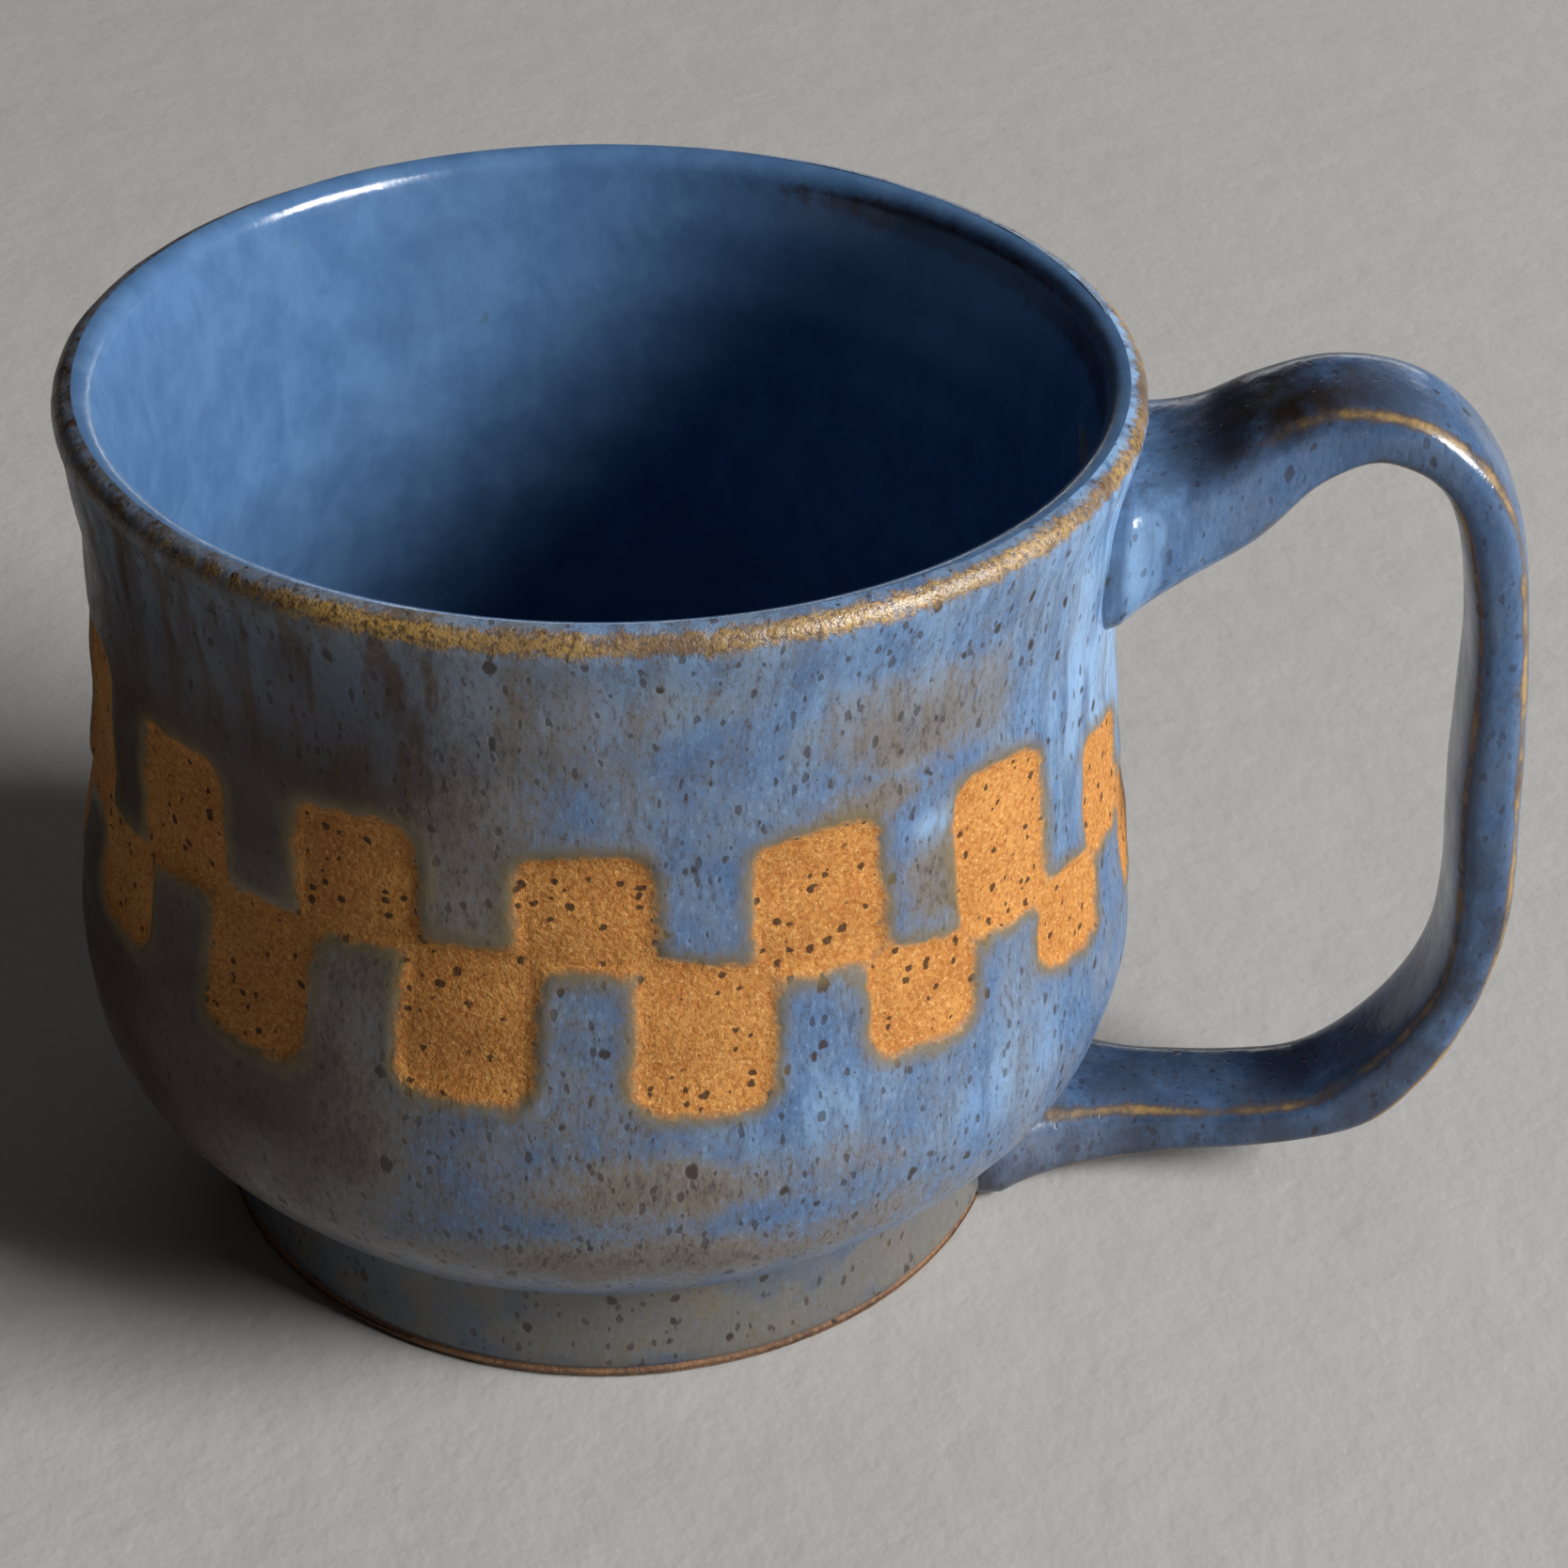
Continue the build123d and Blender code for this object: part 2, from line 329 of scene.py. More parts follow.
def outline_lengths(outline):
    """How far along the outline each of its points is."""
    return np.concatenate([[0], np.cumsum(np.linalg.norm(np.diff(outline, axis=0), axis=1))])


def even_outline(points, count, rounding=2):
    """The outline resampled to evenly spaced points, its sharp corners a little rounded."""
    for _ in range(rounding):
        middle = (points[:-2] + 2 * points[1:-1] + points[2:]) / 4
        points = np.concatenate([points[:1], middle, points[-1:]])
    length = outline_lengths(points)
    at = np.linspace(0, length[-1], count)
    return np.stack([np.interp(at, length, points[:, 0]), np.interp(at, length, points[:, 1])], 1)


def outline_normals(outline):
    """Unit normals on the right-hand side of the outline's direction of travel."""
    along = np.gradient(outline, axis=0)
    across = np.stack([along[:, 1], -along[:, 0]], 1)
    return across / np.linalg.norm(across, axis=1)[:, None]


def turn_outline(outline, columns):
    """Spins an outline round the axis: points, outward normals, angle and row of each point."""
    turns = np.linspace(-pi, pi, columns, endpoint=False)
    normals = outline_normals(outline)
    rows = np.repeat(np.arange(len(outline)), columns)
    turn = np.tile(turns, len(outline))
    spokes = np.stack([np.cos(turn), np.sin(turn)], 1)
    points = np.column_stack([outline[rows, 0, None] * spokes, outline[rows, 1]])
    out = np.column_stack([normals[rows, 0, None] * spokes, normals[rows, 1]])
    return points, out, turn, rows


def grid_faces(rows, columns):
    """Quads of a grid whose last column joins its first."""
    faces = []
    for row in range(rows - 1):
        below, above = row * columns, (row + 1) * columns
        for column in range(columns):
            following = (column + 1) % columns
            faces.append((below + column, below + following, above + following, above + column))
    return faces


def make_mesh(name, points, faces, attributes, material):
    """A smooth-shaded mesh object from points in millimetres, with per-point attributes."""
    mesh = bpy.data.meshes.new(name)
    mesh.from_pydata((points * MM).tolist(), [], faces)
    for label, values in attributes.items():
        layer = mesh.attributes.new(label, "FLOAT", "POINT")
        layer.data.foreach_set("value", np.asarray(values, np.float32))
    mesh.shade_smooth()
    mesh.materials.append(material)
    piece = bpy.data.objects.new(name, mesh)
    bpy.context.scene.collection.objects.link(piece)
    return piece


# ---- Materials --------------------------------------------------------------------------------


class Nodes:
    """Builds one material's node graph with short calls."""

    def __init__(self, name):
        """A new material with one Principled shader, textured by the object's own position."""
        self.material = bpy.data.materials.new(name)
        self.material.use_nodes = True
        self.tree = self.material.node_tree
        self.tree.nodes.clear()
        self.output = self.tree.nodes.new("ShaderNodeOutputMaterial")
        self.shader = self.tree.nodes.new("ShaderNodeBsdfPrincipled")
        self.tree.links.new(self.shader.outputs[0], self.output.inputs["Surface"])
        self.place = self.tree.nodes.new("ShaderNodeTexCoord").outputs["Object"]

    def put(self, socket, value):
        """Links a socket into an input, or sets the input to a plain value."""
        if isinstance(value, bpy.types.NodeSocket):
            self.tree.links.new(value, socket)
        elif value is not None:
            socket.default_value = value

    def math(self, operation, first, second=None):
        """One Math node on sockets or plain numbers."""
        node = self.tree.nodes.new("ShaderNodeMath")
        node.operation = operation
        for socket, value in zip(node.inputs, (first, second)):
            self.put(socket, value)
        return node.outputs[0]

    def attribute(self, label):
        """The value of one of the mesh's own attributes."""
        node = self.tree.nodes.new("ShaderNodeAttribute")
        node.attribute_name = label
        return node.outputs["Fac"]

    def stretched(self, squeeze):
        """Object position in millimetres with each axis scaled by squeeze."""
        node = self.tree.nodes.new("ShaderNodeVectorMath")
        node.operation = "MULTIPLY"
        self.put(node.inputs[0], self.place)
        node.inputs[1].default_value = [share / MM for share in squeeze]
        return node.outputs[0]

    def noise(self, size, detail=4.0, rough=0.55, squeeze=(1, 1, 1), distortion=0.0):
        """Noise from 0 to 1 with features about size millimetres wide."""
        node = self.tree.nodes.new("ShaderNodeTexNoise")
        self.put(node.inputs["Vector"], self.stretched(squeeze))
        node.inputs["Scale"].default_value = 1 / size
        node.inputs["Detail"].default_value = detail
        node.inputs["Roughness"].default_value = rough
        node.inputs["Distortion"].default_value = distortion
        return node.outputs[0]

    def ragged(self, squeeze, size, amount):
        """Position in millimetres, shaken by noise so that round shapes come out uneven."""
        shake = self.tree.nodes.new("ShaderNodeTexNoise")
        place = self.stretched(squeeze)
        self.put(shake.inputs["Vector"], place)
        shake.inputs["Scale"].default_value = 1 / size
        node = self.tree.nodes.new("ShaderNodeVectorMath")
        node.operation = "MULTIPLY_ADD"
        self.put(node.inputs[0], shake.outputs["Color"])
        node.inputs[1].default_value = [amount] * 3
        self.put(node.inputs[2], place)
        return node.outputs[0]

    def specks(self, size, share, radius, squeeze=(1, 1, 1)):
        """Uneven specks up to radius millimetres, one per cell of the size in a share of cells."""
        node = self.tree.nodes.new("ShaderNodeTexVoronoi")
        self.put(node.inputs["Vector"], self.ragged(squeeze, radius * 2.5, radius * 2.2))
        node.inputs["Scale"].default_value = 1 / size
        tone = self.tree.nodes.new("ShaderNodeSeparateColor")
        self.put(tone.inputs[0], node.outputs["Color"])
        chosen = self.ramp(tone.outputs[0], 1 - share, 1.0)
        reach = self.math("MULTIPLY", chosen, radius / size)
        return self.ramp(self.math("SUBTRACT", reach, node.outputs["Distance"]), -0.03, 0.06)

    def ramp(self, value, low, high, to_low=0.0, to_high=1.0):
        """A smooth ramp from to_low at low up to to_high at high."""
        node = self.tree.nodes.new("ShaderNodeMapRange")
        node.interpolation_type = "SMOOTHSTEP"
        self.put(node.inputs["Value"], value)
        node.inputs["From Min"].default_value = low
        node.inputs["From Max"].default_value = high
        node.inputs["To Min"].default_value = to_low
        node.inputs["To Max"].default_value = to_high
        return node.outputs[0]

    def blend(self, share, first, second):
        """Mixes two colours; share 0 gives the first and 1 the second."""
        node = self.tree.nodes.new("ShaderNodeMix")
        node.data_type = "RGBA"
        self.put(node.inputs["Factor"], share)
        # The node has an A and a B for each data type; 6 and 7 are those for colours
        self.put(node.inputs[6], first)
        self.put(node.inputs[7], second)
        return node.outputs[2]

    def bump(self, height, depth):
        """A bump of the given depth in millimetres, added after any bump made before."""
        node = self.tree.nodes.new("ShaderNodeBump")
        node.inputs["Strength"].default_value = 1.0
        node.inputs["Distance"].default_value = depth * MM
        self.put(node.inputs["Height"], height)
        if self.shader.inputs["Normal"].links:
            self.put(node.inputs["Normal"], self.shader.inputs["Normal"].links[0].from_socket)
        self.put(self.shader.inputs["Normal"], node.outputs[0])

    def finish(self, colour, roughness, specular=0.5):
        """Sets what is left of the shader and returns the material."""
        self.put(self.shader.inputs["Base Color"], colour)
        self.put(self.shader.inputs["Roughness"], roughness)
        self.put(self.shader.inputs["Specular IOR Level"], specular)
        return self.material


def blue_glaze(n, runs, thin):
    """Mottled blue glaze: denim and slate, taupe and brown where it is thin and where painted shade
    darkens it, pale where it ran thick and where a painted highlight lightens it.
    """
    blotch = n.noise(5, 5, 0.6, (1, 1, 0.7), 0.2)
    cloud = n.noise(16, 5, 0.55, (1, 1, 1.3), 0.2)
    grain = n.noise(0.5, 3, 0.8, (1, 1, 0.42))
    colour = n.blend(n.ramp(blotch, 0.36, 0.66), DENIM, SLATE)
    colour = n.blend(n.ramp(grain, 0.3, 0.46, 0.55, 0.0), colour, PALE_GRAIN)

    # The thinner the glaze, the more the clay browns it; on the left of the outside the brown is
    # partly painted shade
    level = n.math("ADD", n.math("MULTIPLY", thin, THIN_SHARE), n.math("MULTIPLY", cloud, CLOUD_SHARE))
    level = n.math("ADD", level, n.math("MULTIPLY", blotch, BLOTCH_SHARE))
    level = n.math("ADD", level, n.math("MULTIPLY", grain, GRAIN_SHARE))
    colour = n.blend(n.ramp(level, 0.74, 1.06, 0.0, 0.92), colour, TAUPE)
    colour = n.blend(n.ramp(level, 0.98, 1.3, 0.0, 0.96), colour, THIN_BROWN_AND_SHADE)

    # Pale streaks where it ran, one patch of them a painted highlight, and dark hairs and grains
    # everywhere else
    streak = n.ramp(n.noise(2.6, 5, 0.6, (1, 1, 0.16), 0.3), 0.36, 0.6)
    colour = n.blend(n.math("MULTIPLY", streak, runs), colour, PALE_RUN_AND_HIGHLIGHT)
    hairs = n.ramp(n.noise(0.65, 3, 0.8, (1, 1, 0.2)), 0.52, 0.72, 0.0, 0.5)
    dark = n.math("MAXIMUM", hairs, n.ramp(grain, 0.52, 0.7, 0.0, 0.65))
    return n.blend(n.math("MULTIPLY", dark, n.ramp(runs, 0.2, 1.0, 1.0, 0.4)), colour, SHADE)


def iron_specks(n, colour, strength):
    """Dark iron specks of two sizes that burnt through the glaze, drawn out downwards."""
    large = n.specks(2.5, 0.85, 0.56, (1, 1, 0.7))
    small = n.specks(1.0, 0.9, 0.31, (1, 1, 0.55))
    both = n.math("MAXIMUM", large, n.math("MULTIPLY", small, 0.7))
    return n.blend(n.math("MULTIPLY", both, strength), colour, IRON), both


def gritty_ochre(n):
    """Bare ochre slip: sandy grain, pale flecks, darker grit and a few iron specks."""
    grain = n.noise(0.5, 3, 0.7)
    cloud = n.noise(5.0, 5, 0.65)
    colour = n.blend(n.ramp(cloud, 0.3, 0.7, 0.55, 1.0), OCHRE_DARK, OCHRE)
    colour = n.blend(n.ramp(grain, 0.34, 0.6, 0.75, 0.0), colour, OCHRE_DARK)
    colour = n.blend(n.ramp(n.noise(0.4, 3, 0.8), 0.52, 0.7, 0.0, 0.7), colour, OCHRE_PALE)
    grit = n.specks(1.3, 0.9, 0.42)
    return n.blend(n.math("MULTIPLY", grit, 0.85), colour, IRON), grain


def outer_glaze_material():
    """Blue glaze over the outside, greyer on the foot, with bare squares and a broken lip."""
    n = Nodes("outer_glaze")
    # On the outside, thin also carries painted shade on the left, away from the window
    thin = n.attribute("thin")
    colour = blue_glaze(n, n.attribute("runs"), thin)
    footing = n.blend(n.ramp(n.noise(12, 4, 0.6), 0.42, 0.56), FOOT_GREY, FOOT_OLIVE)
    colour = n.blend(n.math("MULTIPLY", n.attribute("foot"), 0.7), colour, footing)
    colour, specks = iron_specks(n, colour, 0.88)

    # The squares have a frayed edge and an olive seam where the glaze meets them
    fray = n.ramp(n.noise(1.8, 3, 0.55), 0, 1, -0.55, 0.55)
    square = n.math("ADD", n.attribute("square"), fray)
    colour = n.blend(n.ramp(square, 0.0, 2.0, 0.8, 0.0), colour, OLIVE)
    bare_colour, grain = gritty_ochre(n)
    bare = n.ramp(square, -0.5, 0.45, 1.0, 0.0)
    colour = n.blend(bare, colour, bare_colour)

    # Along the lip the glaze breaks to patchy ochre and brown
    patchy = n.ramp(n.noise(13, 3, 0.5), 0.3, 0.6)
    lip = n.math("ADD", n.attribute("lip"), n.ramp(n.noise(1.3, 5, 0.75), 0, 1, -0.65, 0.65))
    lip_bare = n.ramp(lip, 0.2, 0.8)
    lip_colour = n.blend(n.math("MULTIPLY", n.ramp(grain, 0.35, 0.6), patchy), LIP_BROWN, LIP_OCHRE)
    colour = n.blend(n.math("MULTIPLY", lip_bare, 0.9), colour, lip_colour)

    # Bare slip is dry and grainy, thin glaze is dull and the rest is glossy
    dry = n.math("MAXIMUM", bare, n.math("MULTIPLY", lip_bare, 0.15))
    grainy = n.math("MAXIMUM", bare, n.math("MULTIPLY", lip_bare, 0.7))
    dull = n.math("MAXIMUM", bare, n.ramp(thin, 0.8, 1.8))
    roughness = n.ramp(dry, 0, 1, 0.3, 0.85)
    roughness = n.math("ADD", roughness, n.ramp(n.noise(4, 4), 0.3, 0.7, -0.08, 0.1))
    n.bump(n.noise(1.6, 4, 0.6), GLAZE_RIPPLE)
    n.bump(n.math("MULTIPLY", specks, -1.0), SPECK_PIT)
    n.bump(n.math("MULTIPLY", grain, grainy), BARE_GRAIN)
    return n.finish(colour, roughness, n.ramp(dull, 0, 1, 0.5, 0.2))


def inner_glaze_material():
    """Smoother, glossier blue inside, with a dark edge under the crown of the lip that is partly dark
    glaze and partly painted shade.
    """
    n = Nodes("inner_glaze")
    cloud = n.noise(4.5, 5, 0.65, (1, 1, 0.7), 0.3)
    colour = n.blend(n.ramp(cloud, 0.3, 0.72), INSIDE_DEEP, INSIDE_BLUE)
    colour = n.blend(n.math("MULTIPLY", n.specks(5.0, 0.35, 0.8), 0.5), colour, INSIDE_SPECK)
    # The dark edge under the crown is partly painted shade, strongest on the handle side
    lip = n.math("ADD", n.attribute("lip"), n.ramp(n.noise(1.5, 5, 0.7), 0, 1, -0.5, 0.5))
    colour = n.blend(n.ramp(lip, 0.35, 0.95, 0.0, 0.9), colour, LIP_DARK_AND_SHADE)
    streaks = n.specks(3.6, 0.3, 0.4, (1, 1, 0.35))
    colour = n.blend(n.math("MULTIPLY", streaks, n.attribute("lip")), colour, IRON)
    n.bump(n.noise(2.4, 4, 0.55), INNER_RIPPLE)
    return n.finish(colour, n.ramp(n.noise(5, 4), 0.3, 0.7, 0.16, 0.28))


def clay_material():
    """Bare fired stoneware, rough and speckled."""
    n = Nodes("stoneware")
    cloud = n.noise(8, 5, 0.6)
    grain = n.noise(0.5, 4, 0.7)
    colour = n.blend(n.ramp(cloud, 0.35, 0.65), CLAY, CLAY_DARK)
    colour = n.blend(n.ramp(grain, 0.45, 0.62, 0, 0.5), colour, CLAY_PALE)
    colour = n.blend(n.specks(1.8, 0.4, 0.3), colour, IRON)
    n.bump(grain, CLAY_GRAIN)
    n.bump(n.noise(2.0, 4, 0.6), CLAY_LUMPS)
    return n.finish(colour, n.ramp(grain, 0.3, 0.7, 0.75, 0.95))


def handle_material():
    """Blue glaze with navy and brown patches where it is thin, broken to ochre on the edges."""
    n = Nodes("handle_glaze")
    bare = n.attribute("bare")
    colour = n.blend(0.35, blue_glaze(n, n.attribute("runs"), n.attribute("thin")), HANDLE_BLUE)
    patch = n.noise(7.5, 6, 0.66, (1, 1, 0.8), 0.15)
    navy = n.math("MULTIPLY", n.ramp(patch, 0.3, 0.5), n.math("MULTIPLY", bare, 0.85))
    colour = n.blend(navy, colour, HANDLE_NAVY)
    colour = n.blend(n.math("MULTIPLY", n.ramp(patch, 0.4, 0.62), bare), colour, HANDLE_BROWN)
    colour, specks = iron_specks(n, colour, 0.6)

    edge = n.math("ADD", n.attribute("edge"), n.ramp(n.noise(5, 6, 0.75), 0, 1, -0.8, 0.8))
    broken = n.ramp(edge, 0.55, 1.15)
    colour = n.blend(n.ramp(edge, 0.2, 0.7, 0, 0.7), colour, EDGE_BROWN)
    gold = n.blend(n.ramp(n.noise(3, 4, 0.6), 0.35, 0.6), LIP_BROWN, LIP_OCHRE)
    colour = n.blend(n.math("MULTIPLY", broken, 0.72), colour, gold)

    n.bump(n.noise(2.2, 4, 0.55), HANDLE_RIPPLE)
    n.bump(n.math("MULTIPLY", specks, -1.0), HANDLE_PIT)
    roughness = n.ramp(broken, 0, 1, 0.2, 0.42)
    roughness = n.math("ADD", roughness, n.ramp(n.noise(4, 4), 0.3, 0.7, -0.05, 0.08))
    return n.finish(colour, roughness)


def floor_material():
    """A plain pale surface with a little unevenness."""
    n = Nodes("floor")
    cloud = n.noise(30, 4, 0.6)
    n.bump(n.noise(9, 4, 0.6), FLOOR_LUMPS)
    n.bump(n.noise(1.5, 4, 0.6), FLOOR_GRAIN)
    return n.finish(n.blend(cloud, FLOOR_GREY, FLOOR_PALE), 0.9, 0.2)


# ---- The outside ------------------------------------------------------------------------------


def square_distance(points, turn):
    """Signed distance in millimetres to the nearest square's edge, negative inside."""
    step = 2 * pi / SQUARES_AROUND
    radius = np.hypot(points[:, 0], points[:, 1])
    meeting = MEETING_HEIGHT + MEETING_WAVE * np.cos(2 * (turn - MEETING_CREST))
    under_handle = bell(turn, 0, DIP_REACH)
    far_away = 99.0
    nearest = np.full(len(points), far_away)
    for number in range(SQUARES_AROUND):
        # Each square was painted by hand: a little wider, taller or more askew than the next
        wider = WIDTH_SPREAD * sin(2.3 * number)
        taller = HEIGHT_SPREAD * sin(2.2 * number + 1.0)
        lean = LEAN_SPREAD * sin(3.1 * number + 2)
        if number % 2 == 0:
            bottom = meeting - ROW_OVERLAP
            top = SQUARES_TOP + taller - TOP_DIP * under_handle
        else:
            bottom = SQUARES_BOTTOM - taller - BOTTOM_DIP * under_handle
            top = meeting + ROW_OVERLAP
        around = (turn - FIRST_SQUARE - number * step + pi) % (2 * pi) - pi
        across = around * radius
        up = points[:, 2] - (bottom + top) / 2
        across, up = across + lean * up, up - lean * across

        # Distance to a rectangle with rounded corners, only on this square's side of the mug
        dx = np.abs(across) - (SQUARE_WIDTH + wider) / 2 + SQUARE_CORNER
        dy = np.abs(up) - (top - bottom) / 2 + SQUARE_CORNER
        outside = np.hypot(np.maximum(dx, 0), np.maximum(dy, 0))
        distance = outside + np.minimum(np.maximum(dx, dy), 0) - SQUARE_CORNER
        distance = np.where(np.abs(around) < pi / 2, distance, far_away)

        # A soft minimum, so neighbours run together where their corners meet
        closeness = np.clip(0.5 + (nearest - distance) / CORNER_MELT, 0, 1)
        melted = closeness * (1 - closeness) * CORNER_MELT / 2
        nearest = nearest * (1 - closeness) + distance * closeness - melted
    return nearest + 0.3 * soft_noise(points, 5.5, 11.0) + 0.12 * soft_noise(points, 1.8, 3.0)


def patches(places, turn, height):
    """How strong the given patches are, from 0 up, over the outside of the wall."""
    strongest = np.zeros(len(turn))
    for angle, middle, reach, rise, strength in places:
        around = (turn - radians(angle) + pi) % (2 * pi) - pi
        away = (around * BELLY_RADIUS / reach) ** 2 + ((height - middle) / rise) ** 2
        strongest = np.maximum(strongest, strength * np.exp(-away))
    return strongest


def glaze_runs(turn, height):
    """How much the glaze ran: under the lip, and most of all beside the handle."""
    beside_handle = smoothstep(0.75, 1.0, np.cos(turn))
    runs = smoothstep(60, 80, height) * (0.35 + 0.65 * beside_handle)
    return np.maximum(runs, beside_handle * smoothstep(40, 60, height))


def thin_glaze_and_shade(turn, height):
    """How thin the glaze is, from 0 up: in patches, and under the lip away from the handle. On the
    left, away from the window, it is partly painted shade.
    """
    far_lip = smoothstep(-0.1, -0.8, np.cos(turn)) * smoothstep(70, 78, height)
    return np.maximum(patches(THIN_GLAZE_AND_SHADE_PATCHES, turn, height), 1.2 * far_lip)


def lip_break(points, turn):
    """Where the glaze breaks along the outer edge of the lip, 0 to 1, weaker on the far side."""
    middle = lip_middle(GLAZE)
    radius, height = np.hypot(points[:, 0], points[:, 1]), points[:, 2]
    round_lip = np.arctan2(height - middle[1], radius - middle[0]) + LIP_LEAN
    near_lip = height > middle[1] - 3
    band = np.where(near_lip, bell(round_lip, LIP_BREAK, LIP_BREAK_REACH), 0)
    return band * (1 - 0.5 * smoothstep(-0.2, -0.7, np.cos(turn)))


def throwing_rings(points, turn):
    """Shallow spiral ridges left by the potter's fingers."""
    wander = 2.4 * soft_noise(points, 60, 5.0)
    return RING_DEPTH * np.sin(2 * pi * points[:, 2] / RING_PITCH + turn + wander)


def outer_outline():
    """Outline of the outside coat, from the foot up over the lip, and the height of its crease."""
    foot_side = FOOT_RADIUS + GLAZE
    under = under_line(GLAZE)[::-1]
    crease_height = under[0][1]
    foot = foot_line(foot_side, crease_height, np.linspace(0, 1, 20))
    roll_centre = (foot_side - GLAZE_ROLL, GLAZE_LINE + GLAZE_ROLL)
    roll = arc(roll_centre, GLAZE_ROLL, -pi / 2 - ROLL_UNDER, 0, 8)
    # The glaze pools in the crease above the foot and leaves a soft hollow there
    lower = even_outline(np.concatenate([roll[:-1], foot[2:-1], under]), 80, rounding=2)
    lower = even_outline(lower, 80, rounding=14)
    path = np.concatenate([lower, wall_line(GLAZE)[1:], lip_arc(GLAZE, 0, radians(100))[1:]])
    return even_outline(path, COAT_ROWS, rounding=3), crease_height


def build_outer_coat():
    """Glaze over the outside, with the bare squares sunk in it."""
    outline, crease_height = outer_outline()
    points, out, turn, _ = turn_outline(outline, OUTER_COLUMNS)
    height = points[:, 2]
    square = square_distance(points, turn)
    runs = glaze_runs(turn, height)
    attributes = {
        "square": square,
        # The pale patches include a painted highlight between two squares
        "runs": np.maximum(runs, patches(PALE_AND_HIGHLIGHT_PATCHES, turn, height)),
        # Thin glaze, and on the left partly painted shade
        "thin": thin_glaze_and_shade(turn, height),
        "lip": lip_break(points, turn),
        "foot": smoothstep(crease_height + 1.5, crease_height - 1.0, height),
    }

    sunk = smoothstep(0.35, -0.55, square)
    bead = bell(square, 0.9, 0.6)
    drips = soft_noise(points * [1, 1, 0.12], DRIP_SIZE, 8.0) * runs
    shift = throwing_rings(points, turn) * smoothstep(0, 4, height - crease_height)
    shift += WOBBLE_DEPTH * soft_noise(points, WOBBLE_SIZE, 1.0)
    shift += DIMPLE_DEPTH * soft_noise(points, DIMPLE_SIZE, 2.0)
    shift += DRIP_DEPTH * drips - SQUARE_DEPTH * sunk + GLAZE_BEAD * bead
    shift += GRIT_DEPTH * sunk * soft_noise(points, GRIT_SIZE, 4.0)
    points = points + out * shift[:, None]
    faces = grid_faces(len(outline), OUTER_COLUMNS)
    return make_mesh("outer_glaze_coat", points, faces, attributes, outer_glaze_material())


# ---- The inside -------------------------------------------------------------------------------


def inner_outline():
    """Outline of the inside coat, from the crown of the lip down and across the floor."""
    lip = lip_arc(GLAZE, radians(95), pi)
    wall = wall_line(-WALL - GLAZE)[::-1]
    corner = inner_corner(GLAZE)
    across = np.linspace(corner[-1][0], 0.4, 30)
    floor = np.stack([across, np.full(len(across), FLOOR_TOP + GLAZE)], 1)
    return even_outline(np.concatenate([lip, wall[1:], corner[1:], floor[1:]]), COAT_ROWS)


def build_inner_coat():
    """Glaze over the inside, from the crown of the lip down over the floor."""
    outline = inner_outline()
    points, out, turn, rows = turn_outline(outline, INNER_COLUMNS)
    height = points[:, 2]

    # The dark edge just under the crown is partly dark brown glaze and partly painted shade: it is
    # strongest beside the handle, where the window leaves the inside in shade
    dark_edge_and_shade = smoothstep(LIP_HEIGHT - 3.2, LIP_HEIGHT - 0.2, height)
    dark_edge_and_shade *= 1 - 0.8 * smoothstep(LIP_HEIGHT + 0.5, LIP_HEIGHT + 2.0, height)
    dark_edge_and_shade *= 0.2 + 0.8 * smoothstep(0.0, 0.7, np.cos(turn))

    # The rings die out at the crown and at the middle of the floor
    along = outline_lengths(outline)[rows]
    wander = 2 * soft_noise(points, 50, 6.0)
    rings = INNER_RING_DEPTH * np.sin(2 * pi * along / INNER_RING_PITCH + turn + wander)
    calm = smoothstep(2, 14, np.hypot(points[:, 0], points[:, 1])) * smoothstep(0, 5, along)
    shift = calm * (rings + WOBBLE_DEPTH * soft_noise(points, WOBBLE_SIZE, 1.0))
    points = points + out * shift[:, None]
    faces = grid_faces(len(outline), INNER_COLUMNS)
    return make_mesh("inner_glaze_coat", points, faces, {"lip": dark_edge_and_shade}, inner_glaze_material())


# ---- The clay ---------------------------------------------------------------------------------


def clay_outline():
    """Outline of the clay, from the middle of the floor over the lip and back to the recess."""
    floor_height = FLOOR_TOP - CLAY_INSET
    floor = np.array([(0.3, floor_height), (15, floor_height)])
    corner = inner_corner(-CLAY_INSET, 20)[::-1]
    inside = wall_line(CLAY_INSET - WALL)
    lip = lip_arc(-CLAY_INSET, 0, pi)[::-1]
    outside = wall_line(-CLAY_INSET)[::-1]
    under = under_line(-CLAY_INSET)[1:]

    # Below the glaze line the clay is bare, so there it comes out to its true surface
    foot = foot_line(FOOT_RADIUS - CLAY_INSET, under[-1][1], np.linspace(1, 0, 8)[1:])
    foot_edge = [[FOOT_RADIUS, GLAZE_LINE - 0.3]]
    ring_inside = FOOT_RADIUS - FOOT_RING_WIDTH
    ring_outer_edge = arc((FOOT_RADIUS - FOOT_EDGE, FOOT_EDGE), FOOT_EDGE, 0, -pi / 2, 8)
    ring_inner_edge = arc((ring_inside + FOOT_EDGE, FOOT_EDGE), FOOT_EDGE, -pi / 2, -pi, 8)
    recess_side = ring_inside - RECESS_CORNER
    recess_corner = arc((recess_side, RECESS_DEPTH - RECESS_CORNER), RECESS_CORNER, 0, pi / 2, 8)
    across = np.linspace(recess_side, 0.3, 50)
    recess = np.stack([across, np.full(len(across), RECESS_DEPTH)], 1)

    cup = np.concatenate([floor, corner, inside, lip, outside, under])
    ring = np.concatenate([foot, foot_edge, ring_outer_edge, ring_inner_edge])
    outline = np.concatenate([cup, ring, recess_corner, recess])
    apart = np.linalg.norm(np.diff(outline, axis=0), axis=1) > 1e-3
    return outline[np.concatenate([[True], apart])]


